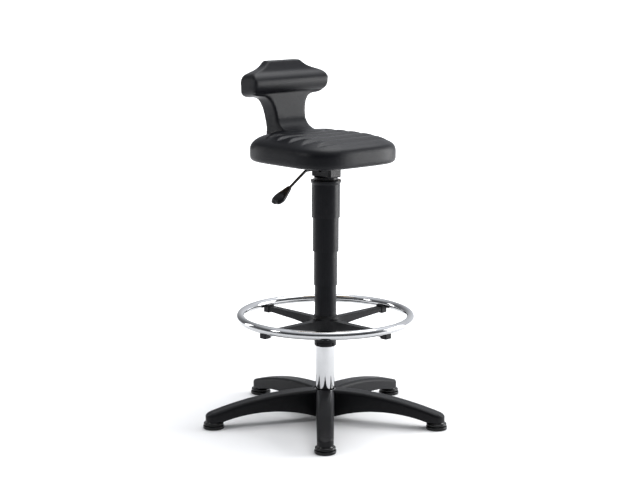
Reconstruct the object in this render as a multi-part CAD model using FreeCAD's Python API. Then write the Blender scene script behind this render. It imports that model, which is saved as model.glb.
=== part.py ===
"""Drafting chair: sit-stand seat on a gas lift with telescoping covers, a clamped foot ring and a star base.

Frame: millimetres, +Z up, origin on the floor under the column's axis. The sitter faces -Y and +X is the
sitter's left. One STEP file per sub-part is written to parts/.
"""

import FreeCAD, Part
import math
import os

from FreeCAD import Vector

os.makedirs("parts", exist_ok=True)

# ---------------------------------------------------------------- driving dimensions (mm, degrees)
SEAT_YAW = 42.5  # the seat is swivelled this far from the base's front arm
ARM_COUNT = 5
FRONT_ARM_AZIMUTH = -90.0 - SEAT_YAW
RUNNING_GAP = 0.06  # radial clearance of a sliding or turning fit
COVER_GAP = 0.5  # radial play between neighbouring telescoping covers

# five-arm base
GLIDE_CIRCLE_R = 306.5
ARM_END_R = 21.0
ARM_ROOT_HALF = 25.0
ARM_SHELL = 4.5
HUB_R = 36.0
HUB_TOP_Z = 83.0
HUB_BOTTOM_Z = 15.0
HUB_RING_R = 30.0
GLIDE_R = 27.7
GLIDE_SPLIT_Z = 8.5
GLIDE_TOP_Z = 17.0
GLIDE_STEM_R = 5.5
ARM_FOOT_Z = 20.0

# column and gas spring
COLUMN_R = 25.0
COLUMN_WALL = 1.8
COLUMN_BOTTOM_Z = 30.0
COLUMN_TOP_Z = 372.0
CYLINDER_R = 14.0
CYLINDER_WALL = 2.0
CYLINDER_BOTTOM_Z = 282.0
CYLINDER_TOP_Z = 668.0
ROD_R = 5.0
PISTON_Z = 292.0

# telescoping covers: outer radius, bottom and top height of each, from the top one down
COVER_TOP = (37.3, 545.5, 644.0)
COVER_SECOND = (34.3, 455.5, 558.0)
COVER_THIRD = (31.1, 365.2, 470.0)
COVER_FIXED = (28.7, 286.4, 382.0)
COVER_LIP = 2.0

# foot ring
RING_R = 225.0
RING_TUBE_R = 11.0
RING_TUBE_WALL = 1.5
RING_Z = 280.0
SPIDER_ARMS = 4
SPIDER_FIRST_AZIMUTH = 45.0 - SEAT_YAW
SPIDER_TOP_Z = 273.0
SPIDER_HALF = 9.0
SPIDER_END_R = 228.0
SPIDER_PAD_R = 207.0
SPIDER_PAD_BOTTOM_Z = 256.5
SPIDER_PAD_TOP_Z = 278.0
SPIDER_SCREW_R = 219.0
BARREL_R = 29.2
BARREL_BOTTOM_Z = 213.0
COLLET_BOTTOM_Z = 201.0
COLLET_R = 26.6
COLLAR_TOP_Z = 286.0
WEB_R = 44.0

# mechanism, seat and back
HOUSING_HALF = 22.0
HOUSING_FRONT_Y = -37.0
HOUSING_BACK_Y = 34.0
HOUSING_BOTTOM_Z = 652.0
PLATE_BOTTOM_Z = 687.0
SEAT_BOTTOM_Z = 690.0
SEAT_TOP_Z = 763.0
SEAT_HALF_WIDTH = 155.4
SEAT_HALF_DEPTH = 162.0
SEAT_CENTRE_Y = 13.0
SEAT_CORNER_POWER = 4.1
SEAT_LOW_ROLL = (7.5, 14.0)  # how far the underside's rounded edge reaches in and up
SEAT_TOP_ROLL = (68.0, 40.0)  # how far the top's rounded edge reaches in and down
BACK_LEAN = 8.5
BACK_OUTLINE_Y = 140.0  # depth at which the back's front outline is given
BOARD_T = 12.0
BOLT_X = 60.0
BOLT_Y = 70.0
STRAP_HALF = 22.0
STRAP_T = 6.0

# height lever
LEVER_R = 3.6
LEVER_PIVOT = (-14.0, 0.0, 674.0)
LEVER_DIP = 35.0
LEVER_BEND_X = -66.0
LEVER_BEND_R = 14.0
LEVER_ROD_RUN = 64.0
GRIP_LENGTH = 60.0


# ---------------------------------------------------------------- helpers
def save(name, shape):
    """Write one sub-part."""
    shape.exportStep("parts/" + name + ".step")
    print(f"{name:20s} volume {shape.Volume / 1000.0:9.2f} cm3  valid {shape.isValid()}")


def turned(profile):
    """Solid of revolution about Z from a closed (radius, height) outline."""
    points = [Vector(r, 0, z) for r, z in profile]
    face = Part.Face(Part.makePolygon(points + points[:1]))
    return face.revolve(Vector(0, 0, 0), Vector(0, 0, 1), 360)


def tube(outer, inner, z0, z1):
    """Plain round tube about Z."""
    return turned([(inner, z0), (outer, z0), (outer, z1), (inner, z1)])


def disc(radius, z0, z1, x=0.0, y=0.0):
    """Plain round disc with its axis along Z."""
    return Part.makeCylinder(radius, z1 - z0, Vector(x, y, z0))


def block(x0, x1, y0, y1, z0, z1):
    """Plain rectangular block between two corners."""
    return Part.makeBox(x1 - x0, y1 - y0, z1 - z0, Vector(x0, y0, z0))


def turn(shape, degrees):
    """Copy turned about Z."""
    copy = shape.copy()
    copy.rotate(Vector(0, 0, 0), Vector(0, 0, 1), degrees)
    return copy


def around(shape, count, first):
    """Copies of a shape drawn along +X, spread evenly about Z."""
    return [turn(shape, first + 360.0 * i / count) for i in range(count)]


def fused(shapes):
    """One solid from several that overlap."""
    return shapes[0].multiFuse(shapes[1:]).removeSplitter()


def filleted(shape, radius, chosen):
    """Round the edges that the test function chooses."""
    return shape.makeFillet(radius, [edge for edge in shape.Edges if chosen(edge)])


# ---------------------------------------------------------------- five-arm base
def arm_top(start_z, end_z):
    """Arc of an arm's crowned back, from the hub to the knee above the glide."""
    start = Vector(0, 0, start_z + 0.5)
    return Part.Arc(start, Vector(185, 0, start_z - 10.0), Vector(314, 0, end_z)).toShape()


def arm_side(lower=0.0, floor_z=None):
    """Side view of one arm: crowned back, vertical toe, arched belly; lower sinks the back for the hollow."""
    toe_r = GLIDE_CIRCLE_R + ARM_END_R + 1.0
    back = arm_top(HUB_TOP_Z - lower, 42.0 - lower)
    toe_top = Vector(toe_r, 0, 33.0 - lower)
    knee = Part.makeLine(back.Vertexes[-1].Point, toe_top)
    if floor_z is None:
        toe = Part.makeLine(toe_top, Vector(toe_r, 0, ARM_FOOT_Z))
        sole = Part.makeLine(Vector(toe_r, 0, ARM_FOOT_Z), Vector(286, 0, ARM_FOOT_Z))
        belly_root = Vector(36, 0, HUB_BOTTOM_Z)
        belly = Part.Arc(Vector(286, 0, ARM_FOOT_Z), Vector(165, 0, 37), belly_root).toShape()
        root = Part.makeLine(Vector(36, 0, HUB_BOTTOM_Z), Vector(0, 0, HUB_BOTTOM_Z))
        close = Part.makeLine(Vector(0, 0, HUB_BOTTOM_Z), back.Vertexes[0].Point)
        return Part.Wire([back, knee, toe, sole, belly, root, close])
    toe = Part.makeLine(toe_top, Vector(toe_r, 0, floor_z))
    sole = Part.makeLine(Vector(toe_r, 0, floor_z), Vector(0, 0, floor_z))
    close = Part.makeLine(Vector(0, 0, floor_z), back.Vertexes[0].Point)
    return Part.Wire([back, knee, toe, sole, close])


def arm_plan(inset, height):
    """Plan view of one arm: slightly tapering sides and a round toe, as a tall prism."""
    half_end = ARM_END_R - inset
    half_root = ARM_ROOT_HALF - inset
    toe = Vector(GLIDE_CIRCLE_R + half_end, 0, 0)
    left = Vector(GLIDE_CIRCLE_R, half_end, 0)
    right = Vector(GLIDE_CIRCLE_R, -half_end, 0)
    root_left = Vector(0, half_root, 0)
    root_right = Vector(0, -half_root, 0)
    edges = [
        Part.makeLine(root_right, right),
        Part.Arc(right, toe, left).toShape(),
        Part.makeLine(left, root_left),
        Part.makeLine(root_left, root_right),
    ]
    return Part.Face(Part.Wire(edges)).extrude(Vector(0, 0, height))


def side_prism(wire, half_width):
    """Prism across Y from a side view drawn in the XZ plane."""
    face = Part.Face(wire)
    face.translate(Vector(0, -half_width, 0))
    return face.extrude(Vector(0, 2 * half_width, 0))


def base_arm():
    """One arm along +X with its rounded back."""
    outer = side_prism(arm_side(), 60.0).common(arm_plan(0.0, 120.0))

    def on_back(edge):
        box = edge.BoundBox
        long_enough = box.XLength > 15.0 and box.ZLength > 2.0
        return long_enough and box.ZMin > ARM_FOOT_Z + 9.0 and box.XMax > 60.0 and box.YLength < 45.0

    return filleted(outer, 9.0, on_back)


def arm_hollow():
    """Open underside of one arm, with cross ribs and the boss for the glide's stem left standing."""
    cavity = side_prism(arm_side(ARM_SHELL, 0.0), 60.0).common(arm_plan(ARM_SHELL, 120.0))
    cavity = cavity.cut(disc(HUB_R + 2.0, 0.0, 120.0))
    for rib_r in (90.0, 140.0, 190.0, 240.0):
        cavity = cavity.cut(block(rib_r - 1.5, rib_r + 1.5, -60, 60, 0, 120))
    cavity = cavity.cut(block(60.0, GLIDE_CIRCLE_R, -1.5, 1.5, 0, 120))
    return cavity.cut(disc(GLIDE_STEM_R + 4.0, 0.0, 120.0, GLIDE_CIRCLE_R))


def make_base():
    bevel = 3.0
    hub = turned(
        [
            (0, HUB_BOTTOM_Z),
            (HUB_R, HUB_BOTTOM_Z),
            (HUB_R, HUB_TOP_Z - bevel),
            (HUB_R - bevel, HUB_TOP_Z),
            (0, HUB_TOP_Z),
        ]
    )
    star = fused([hub] + around(base_arm(), ARM_COUNT, FRONT_ARM_AZIMUTH))
    for hollow in around(arm_hollow(), ARM_COUNT, FRONT_ARM_AZIMUTH):
        star = star.cut(hollow)
    star = star.cut(disc(HUB_RING_R, COLUMN_BOTTOM_Z - 6, HUB_TOP_Z + 5))
    star = star.cut(disc(HUB_RING_R - 8, 0, COLUMN_BOTTOM_Z))
    stem_hole = disc(GLIDE_STEM_R, 0, ARM_FOOT_Z + 16, GLIDE_CIRCLE_R)
    for hole in around(stem_hole, ARM_COUNT, FRONT_ARM_AZIMUTH):
        star = star.cut(hole)
    save("base_star", star)
    save("hub_ring", tube(HUB_RING_R, COLUMN_R, COLUMN_BOTTOM_Z - 6, HUB_TOP_Z - 2))


def make_glides():
    """Each foot is a two-tier plastic glide with a sole, pushed into its arm on a steel stem."""
    waist_z = GLIDE_SPLIT_Z
    body_r = GLIDE_R - 1.4
    body = turned(
        [
            (0, waist_z),
            (body_r - 4.0, waist_z),
            (body_r - 4.0, waist_z + 0.8),
            (body_r, waist_z + 0.8),
            (body_r, GLIDE_TOP_Z),
            (body_r - 5.0, GLIDE_TOP_Z),
            (body_r - 7.0, ARM_FOOT_Z),
            (0, ARM_FOOT_Z),
        ]
    )

    def rim(edge):
        return edge.BoundBox.XMax > body_r - 0.1 and edge.BoundBox.ZLength < 0.1

    body = filleted(body, 3.4, rim)
    body = body.cut(disc(GLIDE_STEM_R, waist_z, ARM_FOOT_Z))
    sole = turned(
        [
            (0, 0),
            (GLIDE_R, 0),
            (GLIDE_R, waist_z),
            (0, waist_z),
        ]
    )
    sole = filleted(sole, 3.0, lambda edge: edge.BoundBox.ZMax < 0.1)
    sole = filleted(sole, 2.0, lambda edge: edge.BoundBox.ZMin > waist_z - 0.1)
    stem = disc(GLIDE_STEM_R, waist_z, ARM_FOOT_Z + 15)
    for part in (body, sole, stem):
        part.translate(Vector(GLIDE_CIRCLE_R, 0, 0))
    for i in range(ARM_COUNT):
        azimuth = FRONT_ARM_AZIMUTH + 360.0 * i / ARM_COUNT
        save(f"glide_{i + 1}", turn(body, azimuth))
        save(f"glide_sole_{i + 1}", turn(sole, azimuth))
    save("glide_stems", Part.makeCompound(around(stem, ARM_COUNT, FRONT_ARM_AZIMUTH)))


# ---------------------------------------------------------------- column and gas spring
def make_column():
    inner = COLUMN_R - COLUMN_WALL
    save("column_tube", tube(COLUMN_R, inner, COLUMN_BOTTOM_Z, COLUMN_TOP_Z))
    floor_z = COLUMN_BOTTOM_Z + 4.0
    save("column_floor", tube(inner, ROD_R + RUNNING_GAP, COLUMN_BOTTOM_Z, floor_z))
    save("rod_clip", tube(ROD_R + 4.5, ROD_R + RUNNING_GAP, COLUMN_BOTTOM_Z - 3.2, COLUMN_BOTTOM_Z - 1.7))
    save("rod_washer", tube(ROD_R + 6.0, ROD_R + RUNNING_GAP, COLUMN_BOTTOM_Z - 1.6, COLUMN_BOTTOM_Z))
    race = tube(13.0, ROD_R + RUNNING_GAP, floor_z, floor_z + 1.5)
    upper = race.copy()
    upper.translate(Vector(0, 0, 6.5))
    save("thrust_washers", Part.makeCompound([race, upper]))
    ball_r = 2.48
    ball = Part.makeSphere(ball_r, Vector(9.5, 0, floor_z + 4.0))
    save("thrust_balls", Part.makeCompound(around(ball, 9, 0.0)))
    save("bump_stop", tube(12.0, ROD_R + 0.5, floor_z + 8.0, floor_z + 15.0))
    save("piston_rod", disc(ROD_R, COLUMN_BOTTOM_Z - 4.5, PISTON_Z))
    piston_r = CYLINDER_R - CYLINDER_WALL - RUNNING_GAP
    save("piston", disc(piston_r, PISTON_Z, PISTON_Z + 12))
    bush = turned(
        [
            (CYLINDER_R + RUNNING_GAP, 300.0),
            (inner, 300.0),
            (inner, COLUMN_TOP_Z),
            (COLUMN_R, COLUMN_TOP_Z),
            (COLUMN_R, COLUMN_TOP_Z + 2),
            (CYLINDER_R + RUNNING_GAP, COLUMN_TOP_Z + 2),
        ]
    )
    save("guide_bush", bush)


def make_gas_spring():
    bore = CYLINDER_R - CYLINDER_WALL
    wall = turned(
        [
            (bore, CYLINDER_BOTTOM_Z),
            (CYLINDER_R, CYLINDER_BOTTOM_Z),
            (CYLINDER_R, 654.0),
            (CYLINDER_R - 1.2, CYLINDER_TOP_Z),
            (4.2, CYLINDER_TOP_Z),
            (4.2, 655.0),
            (bore, 652.0),
        ]
    )
    save("gas_cylinder", wall)
    save("cylinder_gland", tube(bore, ROD_R + RUNNING_GAP, CYLINDER_BOTTOM_Z, CYLINDER_BOTTOM_Z + 8))
    save("release_button", disc(3.8, 657.0, CYLINDER_TOP_Z + 3.6))


# ---------------------------------------------------------------- telescoping covers
def cover(size, wall, lip_r, flange_r=None, lid_r=None):
    """One cover tube: an inward lip at its foot, and an outward flange or a lid at its top."""
    outer, z0, z1 = size
    body = tube(outer, outer - wall, z0, z1)
    if lip_r is not None:
        body = body.fuse(tube(outer - wall + 0.1, lip_r, z0, z0 + COVER_LIP))
    if flange_r is not None:
        body = body.fuse(tube(flange_r, outer - 0.1, z1 - COVER_LIP, z1))
    if lid_r is not None:
        body = body.fuse(tube(outer - wall + 0.1, lid_r, z1 - 2.5, z1))
    return body.removeSplitter()


def make_covers():
    """The flange of each cover runs inside the next cover up, and its lip keeps them together."""
    top_r = COVER_TOP[0]
    second_r = COVER_SECOND[0]
    third_r = COVER_THIRD[0]
    fixed_r = COVER_FIXED[0]
    wall_top = 2.1
    wall_second = 2.0
    wall_third = 1.5
    top = cover(COVER_TOP, wall_top, second_r + 0.3, lid_r=CYLINDER_R + 1.0)
    rim_z = COVER_TOP[2]
    rim_r = 40.0
    rim = turned(
        [
            (top_r - 0.1, rim_z - 11),
            (top_r, rim_z - 11),
            (rim_r, rim_z - 5),
            (rim_r, rim_z - 1),
            (rim_r - 1, rim_z),
            (top_r - 0.1, rim_z),
        ]
    )
    save("cover_top", top.fuse(rim).removeSplitter())
    save("cover_second", cover(COVER_SECOND, wall_second, third_r + 0.3, flange_r=top_r - wall_top - 0.3))
    save("cover_third", cover(COVER_THIRD, wall_third, fixed_r + 0.3, flange_r=second_r - wall_second - 0.3))
    foot_z = COVER_FIXED[1]
    foot = tube(fixed_r, COLUMN_R, foot_z, foot_z + 6)
    fixed = cover(COVER_FIXED, 1.4, None, flange_r=fixed_r + 0.1)
    save("cover_fixed", foot.fuse(fixed).removeSplitter())


# ---------------------------------------------------------------- foot ring
def spider_arm():
    """One arm along +X: level on top, thinner outwards, ending in a pad that cradles the ring."""
    side = [
        (0, SPIDER_TOP_Z),
        (0, 247.0),
        (40, 247.0),
        (110, 254.0),
        (SPIDER_PAD_R, 260.0),
        (SPIDER_PAD_R, SPIDER_TOP_Z),
    ]
    points = [Vector(r, 0, z) for r, z in side]
    beam = side_prism(Part.makePolygon(points + points[:1]), SPIDER_HALF)
    pad = block(SPIDER_PAD_R, SPIDER_END_R, -11, 11, SPIDER_PAD_BOTTOM_Z, SPIDER_PAD_TOP_Z)

    def upright(edge):
        box = edge.BoundBox
        return box.ZLength > 15 and box.XLength < 0.1 and box.YLength < 0.1

    return beam.fuse(filleted(pad, 3.0, upright))


def make_foot_ring():
    ring = Part.makeTorus(RING_R, RING_TUBE_R)
    ring = ring.cut(Part.makeTorus(RING_R, RING_TUBE_R - RING_TUBE_WALL))
    ring.translate(Vector(0, 0, RING_Z))
    arms = around(spider_arm(), SPIDER_ARMS, SPIDER_FIRST_AZIMUTH)
    barrel = disc(BARREL_R, BARREL_BOTTOM_Z, SPIDER_TOP_Z)
    spread = SPIDER_HALF + WEB_R
    web = block(-spread, spread, -spread, spread, 249.0, SPIDER_TOP_Z)
    for x in (-spread, spread):
        for y in (-spread, spread):
            web = web.cut(disc(WEB_R, 240.0, 280.0, x, y))
    web = turn(web, SPIDER_FIRST_AZIMUTH)
    spider = fused([barrel, web] + arms)
    cradle = Part.makeTorus(RING_R, RING_TUBE_R)
    cradle.translate(Vector(0, 0, RING_Z))
    spider = spider.cut(cradle)
    spider = spider.cut(disc(COLLET_R, 200, 290))
    head_top = SPIDER_PAD_BOTTOM_Z + 3.0
    head = disc(4.5, SPIDER_PAD_BOTTOM_Z, head_top, SPIDER_SCREW_R)
    shank = disc(2.0, head_top, 275.5, SPIDER_SCREW_R)
    screws = around(head.fuse(shank).removeSplitter(), SPIDER_ARMS, SPIDER_FIRST_AZIMUTH)
    for one in screws:
        spider = spider.cut(one)
        ring = ring.cut(one)
    save("foot_ring", ring)
    save("ring_spider", spider)
    save("ring_screws", Part.makeCompound(screws))

    collet = turned(
        [
            (COLUMN_R + RUNNING_GAP, COLLET_BOTTOM_Z),
            (COLLET_R, COLLET_BOTTOM_Z),
            (BARREL_R - 0.3, COLLET_BOTTOM_Z + 1.5),
            (BARREL_R - 0.3, BARREL_BOTTOM_Z - 2.5),
            (BARREL_R - 1.3, BARREL_BOTTOM_Z - 1.5),
            (BARREL_R - 1.3, BARREL_BOTTOM_Z),
            (COLLET_R, BARREL_BOTTOM_Z),
            (COLLET_R, COLLAR_TOP_Z - 1.0),
            (COLUMN_R + RUNNING_GAP, COLLAR_TOP_Z - 1.0),
        ]
    )
    slot = block(COLUMN_R - 2, BARREL_R + 4, -2.2, 2.2, COLLET_BOTTOM_Z - 1, BARREL_BOTTOM_Z - 2.0)
    for cutter in around(slot, SPIDER_ARMS, SPIDER_FIRST_AZIMUTH):
        collet = collet.cut(cutter)
    save("clamp_collet", collet)

    inner = COLLET_R + RUNNING_GAP
    low = SPIDER_TOP_Z + 0.3
    collar = turned(
        [
            (inner, low),
            (32.3, low),
            (32.3, low + 5.5),
            (31.3, low + 6.5),
            (31.3, low + 8.5),
            (29.0, low + 10.5),
            (29.0, COLLAR_TOP_Z),
            (inner, COLLAR_TOP_Z),
        ]
    )
    save("clamp_collar", collar)


# ---------------------------------------------------------------- seat mechanism and lever
def make_mechanism():
    wall = 2.5
    half = HOUSING_HALF
    case = block(-half, half, HOUSING_FRONT_Y, HOUSING_BACK_Y, HOUSING_BOTTOM_Z, PLATE_BOTTOM_Z)

    def upright(edge):
        return edge.BoundBox.ZLength > 20

    def low_rim(edge):
        return edge.BoundBox.ZMax < HOUSING_BOTTOM_Z + 0.1

    case = filleted(case, 6.0, upright)
    case = filleted(case, 3.0, low_rim)
    inside = block(wall - half, half - wall, HOUSING_FRONT_Y + wall, HOUSING_BACK_Y - wall, 0, PLATE_BOTTOM_Z)
    inside = inside.cut(block(-half, half, HOUSING_FRONT_Y, HOUSING_BACK_Y, 0, HOUSING_BOTTOM_Z + wall))
    case = case.cut(filleted(inside, 3.5, upright))
    socket_r = CYLINDER_R + 5.0
    case = case.cut(disc(socket_r, HOUSING_BOTTOM_Z - 1, HOUSING_BOTTOM_Z + wall + 1))
    _, pivot_y, pivot_z = LEVER_PIVOT
    slot = block(-half - 1, wall + 1 - half, pivot_y - 6, pivot_y + 6, pivot_z - 8, PLATE_BOTTOM_Z)
    case = case.cut(slot)
    save("mechanism_housing", case)
    save("taper_socket", tube(socket_r, CYLINDER_R + 0.02, 646.0, 666.0))
    collar_r = 31.0
    collar_z = 644.3
    collar = turned(
        [
            (socket_r, collar_z),
            (collar_r - 1, collar_z),
            (collar_r, collar_z + 1),
            (collar_r, HOUSING_BOTTOM_Z),
            (socket_r, HOUSING_BOTTOM_Z),
        ]
    )
    save("socket_collar", collar)

    plate = block(-76, 76, -88, 88, PLATE_BOTTOM_Z, SEAT_BOTTOM_Z)
    plate = filleted(plate, 14.0, lambda edge: edge.BoundBox.ZLength > 2)
    bolts = []
    nuts = []
    board_top = SEAT_BOTTOM_Z + BOARD_T
    for x in (-BOLT_X, BOLT_X):
        for y in (-BOLT_Y, BOLT_Y):
            plate = plate.cut(disc(3.3, 680, 700, x, y))
            head = disc(6.0, PLATE_BOTTOM_Z - 4.0, PLATE_BOTTOM_Z, x, y)
            head = head.cut(Part.makeCylinder(2.4, 2.5, Vector(x, y, PLATE_BOTTOM_Z - 4.0)))
            bolts.append(head.fuse(disc(3.0, PLATE_BOTTOM_Z, board_top, x, y)).removeSplitter())
            barrel = disc(4.5, SEAT_BOTTOM_Z + 1.0, board_top, x, y)
            barrel = barrel.fuse(disc(11.0, board_top, board_top + 1.5, x, y))
            nuts.append(barrel.cut(disc(3.0, 680, board_top, x, y)).removeSplitter())
    save("seat_plate", plate)
    save("plate_bolts", Part.makeCompound(bolts))
    save("tee_nuts", Part.makeCompound(nuts))
    return bolts, nuts


def lever_point(run, drop=0.0):
    """Point on the lever's sloping part: so far out past the bend, and so far below the rod's axis."""
    dip = math.radians(LEVER_DIP)
    bend_end_x = LEVER_BEND_X - math.sin(dip) * LEVER_BEND_R
    bend_end_z = LEVER_PIVOT[2] - (1 - math.cos(dip)) * LEVER_BEND_R
    x = bend_end_x - math.cos(dip) * run + math.sin(dip) * drop
    return Vector(x, LEVER_PIVOT[1], bend_end_z - math.sin(dip) * run - math.cos(dip) * drop)


def make_lever_grip():
    """Pear-shaped grip, flattened, with a shallow notch between two lobes at its end."""
    start = lever_point(LEVER_ROD_RUN)
    along = (lever_point(1.0) - lever_point(0.0)).normalize()
    down = (lever_point(0.0, 1.0) - lever_point(0.0)).normalize()
    # run along the grip, half width, half thickness
    stations = [(0.0, 6.0, 6.0), (9.0, 9.0, 7.5), (27.0, 15.5, 10.0), (42.0, 19.5, 11.0), (52.0, 18.5, 9.5)]
    stations.append((GRIP_LENGTH, 13.5, 5.0))
    frame = FreeCAD.Matrix(0, down.x, along.x, 0, 1, down.y, along.y, 0, 0, down.z, along.z, 0, 0, 0, 0, 1)
    sections = []
    for run, half_wide, half_thick in stations:
        section = Part.Wire([Part.Ellipse(Vector(0, 0, 0), half_wide, half_thick).toShape()])
        section = section.transformGeometry(frame)
        section.translate(start + along * run)
        sections.append(section)
    grip = Part.makeLoft(sections, True, False)
    notch_r = 7.0
    notch = Part.makeCylinder(notch_r, 40.0, start + along * (GRIP_LENGTH + 3.5) - down * 20.0, down)
    return grip.cut(notch).cut(Part.makeCylinder(LEVER_R, 30.0, start, along))


def make_lever():
    """Bent rod on a cross pin: its inner end presses the gas spring's button when the grip is lifted."""
    px, py, pz = LEVER_PIVOT
    half_dip = math.radians(LEVER_DIP) / 2
    pivot = Vector(px, py, pz)
    bend_start = Vector(LEVER_BEND_X, py, pz)
    bend_middle = bend_start + Vector(-math.sin(half_dip), 0, math.cos(half_dip) - 1) * LEVER_BEND_R
    bend_end = lever_point(0.0)
    tip = lever_point(LEVER_ROD_RUN + 30.0)
    level = Part.makeLine(pivot, bend_start)
    bend = Part.Arc(bend_start, bend_middle, bend_end).toShape()
    path = Part.Wire([level, bend, Part.makeLine(bend_end, tip)])
    section = Part.Wire([Part.makeCircle(LEVER_R, pivot, Vector(-1, 0, 0))])
    rod = path.makePipeShell([section], True, True)
    pin_r = 2.0
    finger = block(px, 5.0, py - 3.5, py + 3.5, pz - 1.8, pz + 1.2)
    eye = Part.makeCylinder(5.0, 12.0, Vector(px, py - 6.0, pz), Vector(0, 1, 0))
    pin_hole = Part.makeCylinder(pin_r + RUNNING_GAP, 20.0, Vector(px, py - 10.0, pz), Vector(0, 1, 0))
    rod = rod.fuse([finger, eye]).removeSplitter().cut(pin_hole)
    save("lever_rod", rod)
    save("lever_grip", make_lever_grip())

    pin = Part.makeCylinder(pin_r, 19.0, Vector(px, py - 9.5, pz), Vector(0, 1, 0))
    cheeks = []
    for y0 in (py - 9.5, py + 6.3):
        cheeks.append(block(px - 5, px + 5, y0, y0 + 3.2, pz - 5, PLATE_BOTTOM_Z).cut(pin))
    save("lever_bracket", Part.makeCompound(cheeks))
    save("lever_pivot", pin)


# ---------------------------------------------------------------- seat and back
def seat_plan(inset, z):
    """Closed squarish outline of the seat: a superellipse, so its sides bow slightly into round corners."""
    points = []
    steps = 40
    for i in range(steps):
        angle = 2 * math.pi * i / steps
        power = 2.0 / SEAT_CORNER_POWER
        x = math.copysign(abs(math.cos(angle)) ** power, math.cos(angle)) * (SEAT_HALF_WIDTH - inset)
        y = math.copysign(abs(math.sin(angle)) ** power, math.sin(angle)) * (SEAT_HALF_DEPTH - inset)
        points.append(Vector(x, SEAT_CENTRE_Y + y, z))
    curve = Part.BSplineCurve()
    curve.interpolate(Points=points, PeriodicFlag=True)
    return Part.Wire([curve.toShape()])


def seat_body():
    """Closed cushion: a small roll round the underside, an upright band and a broad roll up to the top."""
    low_in, low_up = SEAT_LOW_ROLL
    top_in, top_down = SEAT_TOP_ROLL
    sections = []
    for step in (0, 1, 2):
        angle = math.pi / 2 * step / 2
        z = SEAT_BOTTOM_Z + low_up * (1 - math.cos(angle))
        sections.append(seat_plan(low_in * (1 - math.sin(angle)), z))
    for step in range(6):
        angle = math.pi / 2 * step / 5
        z = SEAT_TOP_Z - top_down * (1 - math.sin(angle))
        sections.append(seat_plan(top_in * (1 - math.cos(angle)), z))
    return Part.makeLoft(sections, True, False)


def back_outline():
    """Half outline of the back seen from the front, as (half width, height) from foot to top."""
    neck = [(51.5, 700), (51, 745), (50.4, 788), (52.5, 811), (57.5, 832), (64, 844), (72, 852), (84, 857)]
    bar_end = [(104, 860), (118, 864), (125.5, 873), (126, 889), (125.5, 904), (118, 914), (104, 919.5)]
    cap = [(90, 924), (79, 928.5), (68, 935), (56.5, 945.5), (50, 955)]
    return neck, bar_end, cap


def spline(points):
    curve = Part.BSplineCurve()
    curve.interpolate(Points=points)
    return curve.toShape()


def make_back_shape():
    """Front outline pushed back and slightly down, then trimmed to the side view with its rounded bar."""
    neck, bar_end, cap = back_outline()
    half = neck + bar_end + cap
    fall = math.tan(math.radians(BACK_LEAN))
    lift = BACK_OUTLINE_Y * fall
    right = [Vector(x, 0, z + lift) for x, z in half]
    left = [Vector(-x, 0, z + lift) for x, z in half]
    top = Part.makeLine(right[-1], left[-1])
    foot = Part.makeLine(left[0], right[0])
    front = Part.Face(Part.Wire([spline(right), top, spline(left[::-1]), foot]))
    slab = front.extrude(Vector(0, 300, -300 * fall))

    low = [(88, 759), (101, 763.5), (114, 769.5), (127, 779), (135, 791)]
    low += [(139, 811), (143, 832), (146.5, 864)]
    rear = [(189, 944), (193, 889), (190, 831), (184, 790), (180.5, 772)]
    rear += [(179, 755), (178.6, 738), (178.4, 724)]
    face_low = [Vector(-200, y, z) for y, z in low]
    face_rear = [Vector(-200, y, z) for y, z in rear]
    bulge_end = Vector(-200, 150, 916)
    crest_front = Vector(-200, 165, 944)
    bulge = Part.Arc(face_low[-1], Vector(-200, 129.5, 890), bulge_end).toShape()
    face_top = Part.makeLine(bulge_end, crest_front)
    crest = Part.makeLine(crest_front, face_rear[0])
    under = Vector(-200, face_low[0].y, face_rear[-1].z)
    sole = Part.makeLine(face_rear[-1], under)
    root = Part.makeLine(under, face_low[0])
    side = Part.Face(Part.Wire([spline(face_low), bulge, face_top, crest, spline(face_rear), sole, root]))
    return slab.common(side.extrude(Vector(400, 0, 0)))


def strap_shape():
    """Flat steel bar, bent up from the seat board's top into the back."""
    z0 = SEAT_BOTTOM_Z + BOARD_T
    z1 = z0 + STRAP_T
    side = [
        (30, z0),
        (30, z1),
        (142, z1),
        (148, z1 + 6),
        (152, 765),
        (166, 832),
        (166, 915),
        (166 + STRAP_T, 915),
        (166 + STRAP_T, 831),
        (152 + STRAP_T, 764),
        (148 + STRAP_T, z0 + 4),
        (150, z0),
    ]
    points = [Vector(-STRAP_HALF, y, z) for y, z in side]
    face = Part.Face(Part.makePolygon(points + points[:1]))
    return face.extrude(Vector(2 * STRAP_HALF, 0, 0))


def make_seat(bolts, nuts):
    board = Part.Face(seat_plan(24.0, SEAT_BOTTOM_Z)).extrude(Vector(0, 0, BOARD_T))
    pocket = board.copy()
    strap = strap_shape()
    strap_top = SEAT_BOTTOM_Z + BOARD_T + STRAP_T
    screws = []
    for y in (55.0, 95.0):
        for x in (-12.0, 12.0):
            shank = disc(2.0, SEAT_BOTTOM_Z + 2, strap_top, x, y)
            head = disc(4.5, strap_top, strap_top + 3, x, y)
            screws.append(shank.fuse(head).removeSplitter())
    for one in screws:
        strap = strap.cut(one)
        board = board.cut(one)
    for nut, bolt in zip(nuts, bolts):
        board = board.cut(nut)
        board = board.cut(bolt)

    cushion = seat_body()
    back = make_back_shape().cut(cushion)
    for cutter in [pocket, strap_shape()] + nuts + screws:
        cushion = cushion.cut(cutter)
    back = back.cut(strap_shape())
    save("seat_board", board)
    save("back_strap", strap)
    save("strap_screws", Part.makeCompound(screws))
    save("seat_cushion", cushion)
    save("backrest_cushion", back)


make_base()
make_glides()
make_column()
make_gas_spring()
make_covers()
make_foot_ring()
seat_bolts, seat_nuts = make_mechanism()
make_lever()
make_seat(seat_bolts, seat_nuts)
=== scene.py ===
"""Looks of the drafting chair: moulded seat and back, procedural materials, camera and plain studio light."""

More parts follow.
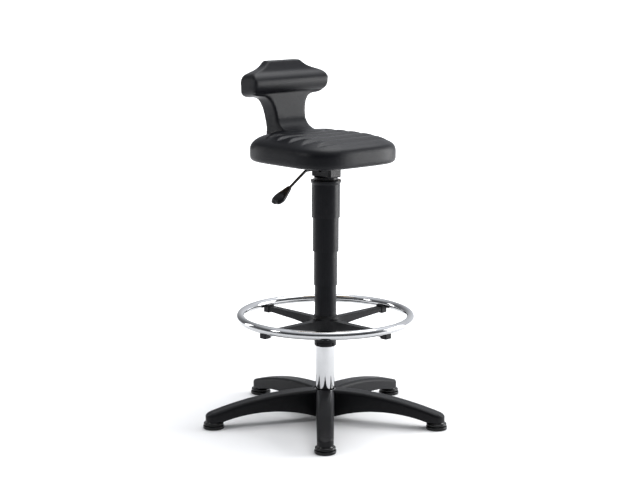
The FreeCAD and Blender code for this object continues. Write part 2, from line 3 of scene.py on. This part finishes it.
import math

import bpy
from mathutils import Matrix, Vector


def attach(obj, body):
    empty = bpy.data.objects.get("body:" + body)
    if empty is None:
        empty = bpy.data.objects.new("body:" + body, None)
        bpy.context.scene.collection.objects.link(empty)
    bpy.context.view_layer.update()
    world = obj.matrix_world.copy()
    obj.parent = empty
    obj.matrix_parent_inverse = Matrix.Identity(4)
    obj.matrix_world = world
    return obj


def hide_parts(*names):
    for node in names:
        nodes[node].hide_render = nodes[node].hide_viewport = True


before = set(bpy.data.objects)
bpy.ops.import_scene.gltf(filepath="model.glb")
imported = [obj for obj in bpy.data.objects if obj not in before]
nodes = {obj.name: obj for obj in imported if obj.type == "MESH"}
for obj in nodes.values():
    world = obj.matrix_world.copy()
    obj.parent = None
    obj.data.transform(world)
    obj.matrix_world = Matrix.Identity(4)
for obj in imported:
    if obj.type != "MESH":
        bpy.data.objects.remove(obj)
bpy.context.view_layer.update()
scene = bpy.context.scene

SEAT_YAW = math.radians(42.5)


# ---------------------------------------------------------------- camera
def place_camera():
    camera_data = bpy.data.cameras.new("camera")
    camera_data.lens = 93.82
    camera_data.sensor_width = 36.0
    camera_data.clip_end = 200.0
    camera = bpy.data.objects.new("camera", camera_data)
    scene.collection.objects.link(camera)
    down = math.radians(10.285)
    tilt = Matrix.Rotation(math.pi / 2 - down, 4, "X") @ Matrix.Rotation(0.0034, 4, "Z")
    spot = Matrix.Translation((-0.0149, -4.3037, 1.2647))
    camera.matrix_world = Matrix.Rotation(-SEAT_YAW, 4, "Z") @ spot @ tilt
    scene.camera = camera


# ---------------------------------------------------------------- materials
class Shader:
    """One Principled material with helpers for its texture nodes."""

    def __init__(self, name, rough, metallic=0.0, specular=0.2, coat=0.0, coat_rough=0.1):
        self.material = bpy.data.materials.new(name)
        self.material.use_nodes = True
        self.tree = self.material.node_tree
        self.out = self.tree.nodes["Principled BSDF"]
        self.out.inputs["Metallic"].default_value = metallic
        self.out.inputs["Roughness"].default_value = rough
        self.out.inputs["Specular IOR Level"].default_value = specular
        self.out.inputs["Coat Weight"].default_value = coat
        self.out.inputs["Coat Roughness"].default_value = coat_rough
        self.coords = self.tree.nodes.new("ShaderNodeTexCoord").outputs["Object"]

    def link(self, source, target):
        self.tree.links.new(source, target)

    def stretched(self, scale):
        """Object coordinates in metres, scaled per axis."""
        mapping = self.tree.nodes.new("ShaderNodeMapping")
        mapping.inputs["Scale"].default_value = scale
        self.link(self.coords, mapping.inputs["Vector"])
        return mapping.outputs["Vector"]

    def noise(self, scale, detail=3.0, rough=0.5, vector=None):
        node = self.tree.nodes.new("ShaderNodeTexNoise")
        node.inputs["Scale"].default_value = scale
        node.inputs["Detail"].default_value = detail
        node.inputs["Roughness"].default_value = rough
        self.link(vector or self.coords, node.inputs["Vector"])
        return node.outputs["Fac"]

    def cells(self, scale, vector=None):
        node = self.tree.nodes.new("ShaderNodeTexVoronoi")
        node.feature = "SMOOTH_F1"
        node.inputs["Scale"].default_value = scale
        node.inputs["Smoothness"].default_value = 0.6
        self.link(vector or self.coords, node.inputs["Vector"])
        return node.outputs["Distance"]

    def spread(self, value, low, high, from_low=0.3, from_high=0.7):
        node = self.tree.nodes.new("ShaderNodeMapRange")
        node.inputs["From Min"].default_value = from_low
        node.inputs["From Max"].default_value = from_high
        node.inputs["To Min"].default_value = low
        node.inputs["To Max"].default_value = high
        self.link(value, node.inputs["Value"])
        return node.outputs["Result"]

    def math(self, kind, a, b):
        node = self.tree.nodes.new("ShaderNodeMath")
        node.operation = kind
        for socket, value in zip(node.inputs, (a, b)):
            if isinstance(value, (int, float)):
                socket.default_value = value
            else:
                self.link(value, socket)
        return node.outputs["Value"]

    def blend(self, factor, low, high):
        """Colour that goes from low to high with the factor; each is a tuple or another node's colour."""
        node = self.tree.nodes.new("ShaderNodeMix")
        node.data_type = "RGBA"
        colours = [socket for socket in node.inputs if socket.type == "RGBA"]
        for socket, value in zip(colours, (low, high)):
            if isinstance(value, tuple):
                socket.default_value = value + (1.0,)
            else:
                self.link(value, socket)
        self.link(factor, node.inputs[0])
        return [socket for socket in node.outputs if socket.type == "RGBA"][0]

    def worn(self, colour, wear, low=0.53, high=0.62):
        """Lighter colour along convex edges, in patches."""
        pointed = self.tree.nodes.new("ShaderNodeNewGeometry").outputs["Pointiness"]
        edge = self.spread(pointed, 0.0, 0.8, low, high)
        patchy = self.math("MULTIPLY", edge, self.spread(self.noise(90.0, 4.0), 0.1, 1.0))
        return self.blend(patchy, colour, wear)

    def colour(self, value):
        self.link(value, self.out.inputs["Base Color"])

    def roughness(self, value):
        self.link(value, self.out.inputs["Roughness"])

    def bump(self, value, height, strength=1.0):
        """Bump of the given height in metres, on top of any bump set before."""
        node = self.tree.nodes.new("ShaderNodeBump")
        node.inputs["Strength"].default_value = strength
        node.inputs["Distance"].default_value = height
        self.link(value, node.inputs["Height"])
        before = self.out.inputs["Normal"].links
        if before:
            self.link(before[0].from_socket, node.inputs["Normal"])
        self.link(node.outputs["Normal"], self.out.inputs["Normal"])


def moulded(name, base, rough, grain=1100.0, depth=0.00012, wear=(0.022, 0.022, 0.024), **extra):
    """Moulded plastic: spark-eroded grain, faint flow marks, uneven gloss and paler rubbed edges."""
    shader = Shader(name, rough, **extra)
    flow = shader.noise(6.0, 2.0)
    dark = tuple(0.85 * c for c in base)
    light = tuple(1.15 * c for c in base)
    speck = shader.noise(grain * 0.55, 2.0)
    tone = shader.blend(shader.spread(flow, 0.0, 1.0), dark, light)
    tone = shader.blend(shader.spread(speck, 0.0, 0.4, 0.45, 0.75), tone, tuple(2.0 * c for c in base))
    shader.colour(shader.worn(tone, wear))
    patch = shader.spread(shader.noise(14.0, 3.0, 0.5), rough - 0.02, rough + 0.03)
    shader.roughness(shader.math("ADD", patch, shader.spread(speck, -0.03, 0.03)))
    shader.bump(shader.cells(grain), depth)
    shader.bump(shader.noise(grain * 0.4, 3.0), depth * 1.4)
    return shader.material


def foam_skin():
    """Integral-skin foam: soft satin, a fine leather-like grain and slight waviness of the moulding."""
    shader = Shader("foam_skin", 0.36, specular=0.22)
    base = (0.0060, 0.0064, 0.0085)
    tone = shader.blend(shader.spread(shader.noise(5.0, 3.0), 0.0, 1.0), base, (0.0080, 0.0085, 0.0110))
    pores = shader.noise(750.0, 2.0, 0.6)
    tone = shader.blend(shader.spread(pores, 0.0, 0.5, 0.52, 0.75), tone, (0.015, 0.0155, 0.018))
    shader.colour(shader.worn(tone, (0.026, 0.027, 0.030), 0.54, 0.64))
    handled = shader.spread(shader.noise(9.0, 3.0, 0.5), 0.31, 0.37)
    shader.roughness(shader.math("ADD", handled, shader.spread(pores, -0.03, 0.04)))
    shader.bump(shader.cells(620.0), 0.00022)
    shader.bump(pores, 0.00012)
    shader.bump(shader.noise(28.0, 2.0), 0.0005, 0.5)
    return shader.material


def plated(name, base, rough, scratch=0.00001, tint=(0.62, 0.63, 0.65)):
    """Bright plated or bare metal: hairline polish marks, faint haze and small dulled patches."""
    shader = Shader(name, rough, metallic=1.0)
    haze = shader.noise(30.0, 5.0, 0.6)
    shader.colour(shader.blend(shader.spread(haze, 0.0, 0.5, 0.45, 0.75), base, tint))
    lines = shader.noise(60.0, 4.0, 0.7, shader.stretched((6.0, 6.0, 60.0)))
    smudge = shader.spread(haze, rough * 0.8, rough * 1.5)
    shader.roughness(shader.math("ADD", smudge, shader.spread(lines, 0.0, rough * 0.5)))
    shader.bump(lines, scratch)
    return shader.material


def coated(name, base, rough):
    """Powder-coated steel: fine orange peel, paler on rubbed edges."""
    shader = Shader(name, rough, specular=0.2, coat=0.08, coat_rough=0.12)
    light = tuple(1.3 * c for c in base)
    tone = shader.blend(shader.spread(shader.noise(12.0, 3.0), 0.0, 1.0), base, light)
    shader.colour(shader.worn(tone, (0.05, 0.05, 0.052)))
    shader.roughness(shader.spread(shader.noise(40.0, 3.0), rough - 0.03, rough + 0.04))
    shader.bump(shader.noise(420.0, 1.0), 0.00006)
    shader.bump(shader.cells(900.0), 0.00003)
    return shader.material


def plywood():
    """Birch plywood: long grain with darker pores on the face and thin glue lines between the plies."""
    shader = Shader("plywood", 0.6)
    grain = shader.noise(3.0, 6.0, 0.65, shader.stretched((70.0, 5.0, 20.0)))
    face = shader.blend(shader.spread(grain, 0.0, 1.0), (0.56, 0.40, 0.23), (0.70, 0.54, 0.34))
    plies = shader.tree.nodes.new("ShaderNodeTexWave")
    plies.bands_direction = "Z"
    plies.inputs["Scale"].default_value = 110.0
    plies.inputs["Distortion"].default_value = 0.6
    shader.link(shader.coords, plies.inputs["Vector"])
    glue = shader.spread(plies.outputs["Fac"], 0.0, 0.35, 0.75, 1.0)
    shader.colour(shader.blend(glue, face, (0.30, 0.18, 0.09)))
    shader.roughness(shader.spread(grain, 0.52, 0.72))
    shader.bump(grain, 0.00015)
    return shader.material


def rubber(name):
    shader = Shader(name, 0.75, specular=0.3)
    dust = shader.noise(60.0, 5.0)
    shader.colour(shader.blend(shader.spread(dust, 0.0, 1.0), (0.02, 0.02, 0.02), (0.045, 0.044, 0.042)))
    shader.roughness(shader.spread(dust, 0.65, 0.88))
    shader.bump(shader.noise(900.0, 3.0), 0.0001)
    return shader.material


def dress_nodes():
    nylon = moulded("nylon_black", (0.0050, 0.0052, 0.0065), 0.40, grain=850.0, depth=0.00016)
    spider = moulded("spider_nylon", (0.0055, 0.0058, 0.0070), 0.42, grain=900.0, depth=0.00012)
    cover = moulded("cover_black", (0.0045, 0.0050, 0.0072), 0.32, grain=1500.0, depth=0.00004)
    tread = (0.003, 0.003, 0.0035)
    glide = moulded("glide_gloss", tread, 0.12, grain=700.0, depth=0.00002, specular=0.4)
    sole = moulded("glide_sole_black", tread, 0.15, grain=700.0, depth=0.00003, specular=0.35)
    grip = moulded("grip_black", (0.008, 0.008, 0.009), 0.3, grain=800.0, depth=0.00008)
    acetal = moulded("acetal_white", (0.62, 0.61, 0.57), 0.4, wear=(0.7, 0.69, 0.66))
    chrome = plated("chrome", (0.555, 0.56, 0.57), 0.05, tint=(0.48, 0.485, 0.495))
    steel = plated("steel", (0.42, 0.42, 0.43), 0.32, 0.00003, (0.30, 0.29, 0.28))
    zinc = plated("zinc", (0.60, 0.60, 0.57), 0.3, 0.00002, (0.50, 0.48, 0.42))
    black_steel = coated("black_steel", (0.005, 0.005, 0.006), 0.22)
    lacquer = coated("lacquer_black", (0.005, 0.005, 0.006), 0.22)
    looks = {
        nylon: ["base_star"],
        spider: ["ring_spider", "clamp_collet", "clamp_collar"],
        cover: ["cover_top", "cover_second", "cover_third", "cover_fixed", "socket_collar"],
        glide: [f"glide_{i}" for i in range(1, 6)],
        sole: [f"glide_sole_{i}" for i in range(1, 6)],
        grip: ["lever_grip"],
        acetal: ["guide_bush"],
        chrome: ["foot_ring", "column_tube", "piston_rod"],
        steel: ["hub_ring", "column_floor", "rod_clip", "thrust_washers", "thrust_balls", "piston"]
        + ["cylinder_gland", "back_strap", "strap_screws"],
        zinc: ["rod_washer", "glide_stems", "ring_screws", "plate_bolts", "tee_nuts", "lever_pivot"]
        + ["release_button"],
        black_steel: ["mechanism_housing", "taper_socket", "seat_plate", "lever_bracket", "lever_rod"],
        lacquer: ["gas_cylinder"],
        plywood(): ["seat_board"],
        rubber("bump_rubber"): ["bump_stop"],
    }
    for material, names in looks.items():
        for name in names:
            mesh = nodes[name].data
            mesh.materials.clear()
            mesh.materials.append(material)


# ---------------------------------------------------------------- seat and back moulding
SEAT_HALF_X = 0.1554
SEAT_HALF_Y = 0.1620
SEAT_Y = 0.013
SEAT_POWER = 4.1
SEAT_LOW = 0.6905
SEAT_HIGH = 0.7625
BACK_FALL = math.tan(math.radians(8.5))
BACK_OUTLINE_Y = 0.140
# heights in millimetres: where the back's sections start and end along its slope, and its level top
BACK_FOOT = 712.0
BACK_CREST = 952.0
BACK_TOP = 944.0
# grooves across the seat top, front to back
GROOVES = (-0.105, -0.060, -0.012, 0.035, 0.080)
GROOVE_DEPTH = 0.0078
GROOVE_HALF_WIDTH = 0.0235
GROOVE_FOLLOWS = 0.35  # share of the shoulder's fall that a groove's floor follows
GROOVE_BLEND = 0.0015  # height over which a groove's floor merges with the top
FRONT_FALL = 0.0030
MIDDLE_FALL = 0.0012
VOXEL = 0.0022
SMOOTHING_LOSS = 0.0010  # what the smoothing takes off a convex form

NECK = [(51.5, 700), (51, 745), (50.4, 788), (52.5, 811), (57.5, 832), (64, 844), (72, 852), (84, 857)]
BAR = [(104, 858.5), (118, 862), (126.5, 871), (127.5, 888), (127, 904), (119.5, 915), (104, 921.5)]
CAP = [(90, 926), (79, 930.5), (68, 937), (56.5, 947.5), (51, 955)]
FRONT = [(86, 740), (90, 760), (97, 763.5), (106, 766.5), (115, 771), (123.5, 777), (130, 784.5)]
FRONT += [(134.8, 793), (137.7, 803), (139.8, 815), (143, 832), (147, 862)]
BULGE = [(141, 867), (134.5, 875), (131, 884), (130, 892), (132.5, 901), (139, 909), (148, 915)]
BROW = [(152.5, 920), (158, 930), (165, 944), (171, 956)]
REAR = [(178, 715), (178.4, 738), (179, 755), (180.5, 772), (184, 790), (190, 831), (193, 889)]
REAR += [(189, 944), (188, 956)]


def smoothstep(low, high, value):
    t = min(1.0, max(0.0, (value - low) / (high - low)))
    return t * t * (3 - 2 * t)


def curve_through(points, per_span):
    """Catmull-Rom points through a list of pairs."""
    padded = [points[0]] + points + [points[-1]]
    found = []
    for a, b, c, d in zip(padded, padded[1:], padded[2:], padded[3:]):
        for step in range(per_span):
            t = step / per_span
            place = []
            for p, q, r, s in zip(a, b, c, d):
                slope = (r - p) * t
                bend = (2 * p - 5 * q + 4 * r - s) * t * t
                twist = (3 * q - p - 3 * r + s) * t**3
                place.append(0.5 * (2 * q + slope + bend + twist))
            found.append(tuple(place))
    found.append(points[-1])
    return found


def depth_at(profile, z):
    """Depth of a side-view line at a height."""
    for (y0, z0), (y1, z1) in zip(profile, profile[1:]):
        if z0 <= z <= z1:
            return y0 + (y1 - y0) * (z - z0) / max(z1 - z0, 1e-9)
    return profile[0][0] if z < profile[0][1] else profile[-1][0]


def stacked(rings):
    """Closed mesh from rings of equally many points, capped at both ends."""
    count = len(rings[0])
    points = [point for ring in rings for point in ring]
    faces = [list(range(count))[::-1]]
    for level in range(len(rings) - 1):
        for i in range(count):
            j = (i + 1) % count
            a = level * count
            faces.append([a + i, a + j, a + count + j, a + count + i])
    top = (len(rings) - 1) * count
    faces.append(list(range(top, top + count)))
    return points, faces


def seat_ring(inset, z, count=160):
    ring = []
    for i in range(count):
        angle = 2 * math.pi * i / count
        across = math.copysign(abs(math.cos(angle)) ** (2 / SEAT_POWER), math.cos(angle))
        along = math.copysign(abs(math.sin(angle)) ** (2 / SEAT_POWER), math.sin(angle))
        ring.append((across * (SEAT_HALF_X - inset), SEAT_Y + along * (SEAT_HALF_Y - inset), z))
    return ring


def seat_rings():
    """From the board's recess in the underside, out round the lower roll, up the side and over the top."""
    rings = [seat_ring(0.0235, SEAT_LOW + 0.013), seat_ring(0.0235, SEAT_LOW), seat_ring(0.0120, SEAT_LOW)]
    for step in range(7):
        angle = math.pi / 2 * step / 6
        rings.append(seat_ring(0.0085 * (1 - math.sin(angle)), SEAT_LOW + 0.014 * (1 - math.cos(angle))))
    for step in range(19):
        angle = math.pi / 2 * step / 18
        rings.append(seat_ring(0.068 * (1 - math.cos(angle)), SEAT_HIGH - 0.040 * (1 - math.sin(angle))))
    return rings


def back_fall(y):
    """How far the back's front outline has dropped at a depth, in millimetres."""
    return (y - 1000 * BACK_OUTLINE_Y) * BACK_FALL


def back_rings():
    """Sections of the back up its slope, each square-cornered: the remesh and smoothing round them."""
    outline = curve_through(NECK + BAR + CAP, 8)
    front = curve_through(FRONT + BULGE + BROW, 6)
    rear = curve_through(REAR, 4)
    across = 24
    rings = []
    for half, level in outline:
        if level < BACK_FOOT or level > BACK_CREST:
            continue
        face = 140.0
        spine = 185.0
        for _ in range(8):
            face = depth_at(front, level - back_fall(face))
            spine = depth_at(rear, level - back_fall(spine))
        ring = []
        for i in range(across + 1):
            ring.append((half * (2 * i / across - 1), face))
        for i in range(1, 9):
            ring.append((half, face + (spine - face) * i / 8))
        for i in range(1, across + 1):
            ring.append((half * (1 - 2 * i / across), spine))
        for i in range(1, 8):
            ring.append((-half, spine + (face - spine) * i / 8))
        rings.append([(x / 1000, y / 1000, min(BACK_TOP, level - back_fall(y)) / 1000) for x, y in ring])
    return rings


def new_object(name, points, faces):
    mesh = bpy.data.meshes.new(name)
    mesh.from_pydata(points, [], faces)
    mesh.update()
    piece = bpy.data.objects.new(name, mesh)
    scene.collection.objects.link(piece)
    return piece


def applied(piece):
    """Replace the mesh by what its modifiers give."""
    bpy.context.view_layer.update()
    graph = bpy.context.evaluated_depsgraph_get()
    mesh = bpy.data.meshes.new_from_object(piece.evaluated_get(graph))
    piece.modifiers.clear()
    piece.data = mesh


def swell(mesh):
    """Push the surface out by what the smoothing took off, except under the seat."""
    normals = [vertex.normal.copy() for vertex in mesh.vertices]
    for vertex, normal in zip(mesh.vertices, normals):
        if vertex.co.z > SEAT_LOW + 0.004:
            vertex.co += normal * SMOOTHING_LOSS


def groove_profile(y):
    """0 on a rib's crown, 1 at the bottom of a groove: broad rounded ribs and narrow valleys."""
    deepest = 0.0
    for centre in GROOVES:
        reach = abs(y - centre) / GROOVE_HALF_WIDTH
        if reach < 1.0:
            deepest = max(deepest, (0.5 + 0.5 * math.cos(math.pi * reach)) ** 1.5)
    return deepest


def press_ribs(mesh):
    """Lower the seat top to the floors of the cross grooves, which run out on the falling shoulders."""
    for vertex in mesh.vertices:
        x, y, z = vertex.co
        if z < 0.738 or y > 0.175 or z > 0.775:
            continue
        upward = smoothstep(0.738, 0.752, z)
        ends = smoothstep(-0.142, -0.120, y) * (1 - smoothstep(0.100, 0.125, y))
        neck = 1 - (1 - smoothstep(0.052, 0.085, abs(x))) * smoothstep(0.060, 0.092, y)
        floor = GROOVE_FOLLOWS * (SEAT_HIGH - z) + GROOVE_DEPTH * groove_profile(y) * ends * neck
        level = SEAT_HIGH - floor
        overlap = max(0.0, 1 - abs(z - level) / GROOVE_BLEND)
        pressed = min(z, level) - overlap * overlap * GROOVE_BLEND / 4
        to_front = FRONT_FALL * (1 - smoothstep(-0.120, 0.010, y))
        to_middle = MIDDLE_FALL * (1 - smoothstep(0.02, 0.11, abs(x)))
        vertex.co.z = z + upward * neck * (pressed - z - to_front - to_middle)


def seat_and_back():
    seat_points, seat_faces = stacked(seat_rings())
    back_points, back_faces = stacked(back_rings())
    shift = len(seat_points)
    back_faces = [[i + shift for i in face] for face in back_faces]
    piece = new_object("seat_back_moulding", seat_points + back_points, seat_faces + back_faces)
    remesh = piece.modifiers.new("remesh", "REMESH")
    remesh.mode = "VOXEL"
    remesh.voxel_size = VOXEL
    smooth = piece.modifiers.new("smooth", "SMOOTH")
    smooth.factor = 0.5
    smooth.iterations = 14
    applied(piece)
    swell(piece.data)
    press_ribs(piece.data)
    smooth = piece.modifiers.new("settle", "SMOOTH")
    smooth.factor = 0.5
    smooth.iterations = 2
    applied(piece)
    for polygon in piece.data.polygons:
        polygon.use_smooth = True
    piece.data.materials.append(foam_skin())
    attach(piece, "seat")
    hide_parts("seat_cushion", "backrest_cushion")


# ---------------------------------------------------------------- light and floor
def towards(light, spot):
    light.rotation_euler = (Vector(spot) - light.location).to_track_quat("-Z", "Y").to_euler()


def area_light(name, place, aim, width, height, power):
    """Soft rectangle of light; place and aim are given as the camera sees them and turned with it."""
    data = bpy.data.lights.new(name, "AREA")
    data.shape = "RECTANGLE"
    data.size = width
    data.size_y = height
    data.energy = power
    light = bpy.data.objects.new(name, data)
    scene.collection.objects.link(light)
    turn = Matrix.Rotation(-SEAT_YAW, 3, "Z")
    light.location = turn @ Vector(place)
    towards(light, turn @ Vector(aim))


def surroundings():
    """Studio walls as light: bright overhead and behind to the right, dim in front and to the left."""
    world = bpy.data.worlds.new("studio")
    scene.world = world
    world.use_nodes = True
    tree = world.node_tree
    background = tree.nodes["Background"]
    direction = tree.nodes.new("ShaderNodeTexCoord").outputs["Generated"]
    turned = tree.nodes.new("ShaderNodeVectorRotate")
    turned.rotation_type = "Z_AXIS"
    turned.inputs["Angle"].default_value = SEAT_YAW
    tree.links.new(direction, turned.inputs["Vector"])
    parts = tree.nodes.new("ShaderNodeSeparateXYZ")
    tree.links.new(turned.outputs["Vector"], parts.inputs["Vector"])

    def ramp(source, stops):
        node = tree.nodes.new("ShaderNodeMapRange")
        node.interpolation_type = "SMOOTHSTEP"
        for key, value in zip(("From Min", "From Max", "To Min", "To Max"), stops):
            node.inputs[key].default_value = value
        tree.links.new(source, node.inputs["Value"])
        return node.outputs["Result"]

    def combine(kind, a, b):
        node = tree.nodes.new("ShaderNodeMath")
        node.operation = kind
        tree.links.new(a, node.inputs[0])
        tree.links.new(b, node.inputs[1])
        return node.outputs["Value"]

    overhead = ramp(parts.outputs["Z"], (0.45, 0.95, 0.10, 0.9))
    behind = ramp(parts.outputs["Y"], (-0.55, 0.55, 0.0, 1.0))
    to_right = ramp(parts.outputs["X"], (-0.80, 0.60, 0.12, 0.95))
    strength = combine("ADD", overhead, combine("MULTIPLY", behind, to_right))
    tree.links.new(strength, background.inputs["Strength"])
    background.inputs["Color"].default_value = (0.94, 0.96, 1.0, 1.0)


def floor_sheet():
    """White paper floor with painted light: an emission that grows away from the chair and fades in front of
    it and to its left, standing in for the backdrop lamps lighting the paper.
    """
    floor = new_object("floor", [(-60, -60, 0), (60, -60, 0), (60, 60, 0), (-60, 60, 0)], [[0, 1, 2, 3]])
    shader = Shader("floor_white", 0.9, specular=0.05)
    paper = shader.noise(1.5, 4.0)
    shader.colour(shader.blend(shader.spread(paper, 0.0, 1.0), (0.86, 0.86, 0.86), (0.88, 0.88, 0.88)))
    length = shader.tree.nodes.new("ShaderNodeVectorMath")
    length.operation = "LENGTH"
    shader.link(shader.coords, length.inputs[0])
    # painted light: the floor's emission is nil near the chair, so the real shadows show there, and rises
    # further out
    far = shader.spread(length.outputs["Value"], 0.0, 0.9, 0.3, 2.2)
    turned = shader.tree.nodes.new("ShaderNodeVectorRotate")
    turned.rotation_type = "Z_AXIS"
    turned.inputs["Angle"].default_value = SEAT_YAW
    shader.link(shader.coords, turned.inputs["Vector"])
    parts = shader.tree.nodes.new("ShaderNodeSeparateXYZ")
    shader.link(turned.outputs["Vector"], parts.inputs["Vector"])
    # the painted glow fades out in front of the chair and to its left
    lit = shader.spread(parts.outputs["Y"], 0.0, 1.0, -1.1, -0.5)
    from_left = shader.math("ADD", parts.outputs["X"], shader.math("MULTIPLY", parts.outputs["Y"], 0.25))
    lit = shader.math("MULTIPLY", lit, shader.spread(from_left, 0.12, 1.0, -2.0, -1.15))
    # the painted glow drives the floor's emission
    shader.link(shader.math("MULTIPLY", far, lit), shader.out.inputs["Emission Strength"])
    shader.out.inputs["Emission Color"].default_value = (1.0, 1.0, 1.0, 1.0)
    floor.data.materials.append(shader.material)


def studio():
    surroundings()
    area_light("softbox_right", (2.6, 0.4, 0.9), (0.0, 0.0, 0.6), 1.5, 1.7, 62)
    area_light("softbox_left", (-2.6, 1.2, 0.9), (0.0, 0.0, 0.5), 0.5, 1.6, 10)
    area_light("softbox_corner", (-2.4, -0.9, 1.7), (0.0, 0.0, 0.7), 0.5, 0.6, 10)
    area_light("softbox_top", (0.6, 0.4, 3.0), (0.0, 0.0, 0.3), 2.4, 2.0, 44)
    floor_sheet()


place_camera()
dress_nodes()
seat_and_back()
studio()
scene.view_settings.view_transform = "Standard"
scene.view_settings.gamma = 0.93
